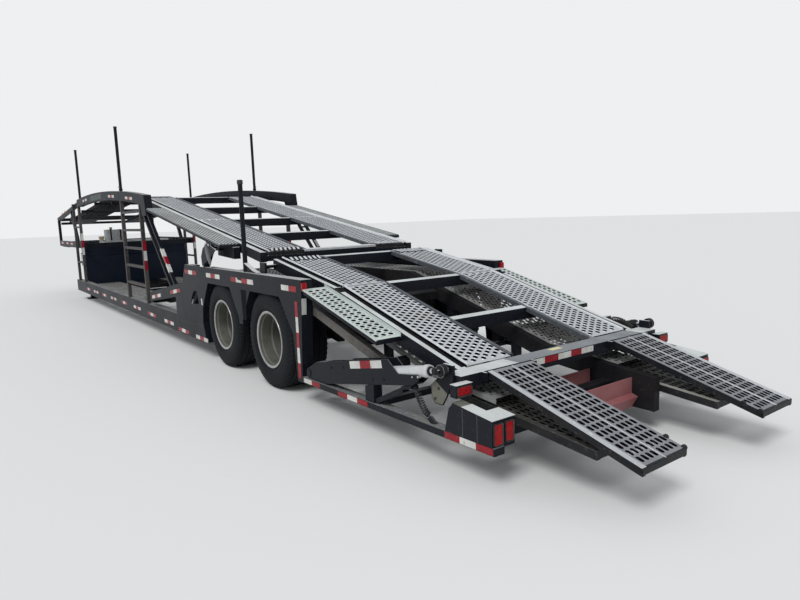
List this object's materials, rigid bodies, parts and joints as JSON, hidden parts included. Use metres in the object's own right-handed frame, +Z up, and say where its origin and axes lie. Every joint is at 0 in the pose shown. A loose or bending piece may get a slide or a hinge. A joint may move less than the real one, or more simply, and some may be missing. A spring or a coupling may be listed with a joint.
{
  "type": "car transporter semi-trailer",
  "caption": "Car transporter semi-trailer: low belly, headrack arch, tilting perforated upper decks with hydraulic lift arms, slide-out extensions and fold-up rear ramps.",
  "frame": {"origin": "on the ground under the middle of the trailer's box, between nose and ramp tips", "axes": "+X towards the gooseneck's front, +Y to the left side, +Z up"},
  "size_m": [17.2, 2.59, 3.4],
  "materials": {
    "frame_paint": "satin dark charcoal paint",
    "bulkhead_paint": "satin navy paint",
    "chassis_black": "matt black paint, dusty",
    "deck_metal": "galvanised, perforated",
    "ramp_steel": "dull galvanised",
    "red_paint": "faded red primer",
    "tank_paint": "grey-white paint",
    "rim": "dull silver",
    "rod_chrome": "polished",
    "tyre": "matt black rubber",
    "cord_black": "matt black jacket"
  },
  "bodies": {
    "trailer": {"axle_front": "chassis_black", "axle_rear": "chassis_black", "belly_frame": "chassis_black", "bogie": "chassis_black", "brace_left": "frame_paint", "brace_right": "frame_paint", "bulkhead": "bulkhead_paint", "curly_cord_left": "cord_black", "front_ladder_left": "frame_paint", "front_ladder_right": "frame_paint", "gooseneck": "frame_paint", "head_deck": "deck_metal", "headrack_arch_left": "frame_paint", "headrack_arch_right": "frame_paint", "landing_leg_left": "frame_paint", "landing_leg_right": "frame_paint", "lower_deck_frame": "chassis_black", "lower_deck_track_left": "deck_metal", "lower_deck_track_right": "deck_metal", "mid_pole_left": "frame_paint", "power_pack": "tank_paint", "rear_ladder_left": "frame_paint", "rear_ladder_right": "frame_paint", "red_crossplate_front": "red_paint", "red_crossplate_rear": "red_paint", "side_body_left": "frame_paint", "side_body_right": "frame_paint", "side_sill_left": "frame_paint", "side_sill_right": "frame_paint", "tail_frame_left": "frame_paint", "tail_frame_right": "frame_paint"},
    "wheel_front_left": {"tyre_front_left": "tyre", "rim_front_left": "rim"},
    "wheel_front_right": {"tyre_front_right": "tyre", "rim_front_right": "rim"},
    "wheel_rear_left": {"tyre_rear_left": "tyre", "rim_rear_left": "rim"},
    "wheel_rear_right": {"tyre_rear_right": "tyre", "rim_rear_right": "rim"},
    "front_deck": {"front_deck_frame": "frame_paint", "front_deck_track_left": "deck_metal", "front_deck_track_right": "deck_metal"},
    "rear_deck": {"rear_deck_frame": "frame_paint", "rear_deck_track_left": "deck_metal", "rear_deck_track_right": "deck_metal", "curly_cord_right": "cord_black"},
    "ramp_left": {"ramp_left": "ramp_steel"},
    "lift_arm_left": {"lift_arm_left": "frame_paint"},
    "lift_rod_left": {"lift_rod_left": "rod_chrome"},
    "front_lift_barrel_left": {"front_lift_barrel_left": "frame_paint"},
    "front_lift_rod_left": {"front_lift_rod_left": "rod_chrome"},
    "lower_extension_left": {"lower_extension_left": "deck_metal"},
    "ramp_right": {"ramp_right": "ramp_steel"},
    "lift_arm_right": {"lift_arm_right": "frame_paint"},
    "lift_rod_right": {"lift_rod_right": "rod_chrome"},
    "front_lift_barrel_right": {"front_lift_barrel_right": "frame_paint"},
    "front_lift_rod_right": {"front_lift_rod_right": "rod_chrome"},
    "lower_extension_right": {"lower_extension_right": "deck_metal"}
  },
  "joints": [
    {"name": "wheel_front_left_spin", "type": "hinge", "parent": "trailer", "child": "wheel_front_left", "pos_m": [-3.33, 1.0575, 0.508], "axis": [0, 1, 0], "continuous": true},
    {"name": "wheel_front_right_spin", "type": "hinge", "parent": "trailer", "child": "wheel_front_right", "pos_m": [-3.33, -1.0575, 0.508], "axis": [0, 1, 0], "continuous": true},
    {"name": "wheel_rear_left_spin", "type": "hinge", "parent": "trailer", "child": "wheel_rear_left", "pos_m": [-4.6, 1.0575, 0.508], "axis": [0, 1, 0], "continuous": true},
    {"name": "wheel_rear_right_spin", "type": "hinge", "parent": "trailer", "child": "wheel_rear_right", "pos_m": [-4.6, -1.0575, 0.508], "axis": [0, 1, 0], "continuous": true},
    {"name": "front_deck_hinge", "type": "hinge", "parent": "trailer", "child": "front_deck", "pos_m": [0.7, 0, 2.115], "axis": [0, 1, 0], "range_deg": [0, 9.6]},
    {"name": "rear_deck_hinge", "type": "hinge", "parent": "trailer", "child": "rear_deck", "pos_m": [-4.41, 0, 1.24], "axis": [0, 1, 0], "range_deg": [0, 14]},
    {"name": "ramp_left_hinge", "type": "hinge", "parent": "rear_deck", "child": "ramp_left", "pos_m": [-7.424, 0.719, 0.622], "axis": [0, 1, 0], "range_deg": [0, 100]},
    {"name": "lift_arm_left_pivot", "type": "hinge", "parent": "trailer", "child": "lift_arm_left", "pos_m": [-5.47, 1.2375, 0.325], "axis": [0, 1, 0], "range_deg": [0, 19.2]},
    {"name": "lift_rod_left_slide", "type": "slide", "parent": "lift_arm_left", "child": "lift_rod_left", "axis": [-0.9823, 0, 0.1873], "range_m": [0, 0.3]},
    {"name": "front_lift_left_pivot", "type": "hinge", "parent": "trailer", "child": "front_lift_barrel_left", "pos_m": [-2.2, 1.232, 0.56], "axis": [0, 1, 0], "range_deg": [0, 13.8]},
    {"name": "front_lift_rod_left_slide", "type": "slide", "parent": "front_lift_barrel_left", "child": "front_lift_rod_left", "axis": [-0.705, 0, 0.7092], "range_m": [0, 0.55]},
    {"name": "lower_extension_left_slide", "type": "slide", "parent": "trailer", "child": "lower_extension_left", "axis": [0.9957, 0, 0.0925], "range_m": [0, 0.6]},
    {"name": "ramp_right_hinge", "type": "hinge", "parent": "rear_deck", "child": "ramp_right", "pos_m": [-7.424, -0.719, 0.622], "axis": [0, 1, 0], "range_deg": [0, 100]},
    {"name": "lift_arm_right_pivot", "type": "hinge", "parent": "trailer", "child": "lift_arm_right", "pos_m": [-5.47, -1.2375, 0.325], "axis": [0, 1, 0], "range_deg": [0, 19.2]},
    {"name": "lift_rod_right_slide", "type": "slide", "parent": "lift_arm_right", "child": "lift_rod_right", "axis": [-0.9823, 0, 0.1873], "range_m": [0, 0.3]},
    {"name": "front_lift_right_pivot", "type": "hinge", "parent": "trailer", "child": "front_lift_barrel_right", "pos_m": [-2.2, -1.232, 0.56], "axis": [0, 1, 0], "range_deg": [0, 13.8]},
    {"name": "front_lift_rod_right_slide", "type": "slide", "parent": "front_lift_barrel_right", "child": "front_lift_rod_right", "axis": [-0.705, 0, 0.7092], "range_m": [0, 0.55]},
    {"name": "lower_extension_right_slide", "type": "slide", "parent": "trailer", "child": "lower_extension_right", "axis": [0.9957, 0, 0.0925], "range_m": [0, 0.6]}
  ],
  "couplings": [
    {"joint": "lift_arm_left_pivot", "follows": "rear_deck_hinge", "ratio": 1.359},
    {"joint": "lift_rod_left_slide", "follows": "rear_deck_hinge", "m_per_rad": 1.202},
    {"joint": "front_lift_left_pivot", "follows": "front_deck_hinge", "ratio": 1.435},
    {"joint": "front_lift_rod_left_slide", "follows": "front_deck_hinge", "m_per_rad": 3.225},
    {"joint": "lift_arm_right_pivot", "follows": "rear_deck_hinge", "ratio": 1.359},
    {"joint": "lift_rod_right_slide", "follows": "rear_deck_hinge", "m_per_rad": 1.202},
    {"joint": "front_lift_right_pivot", "follows": "front_deck_hinge", "ratio": 1.435},
    {"joint": "front_lift_rod_right_slide", "follows": "front_deck_hinge", "m_per_rad": 3.225}
  ]
}
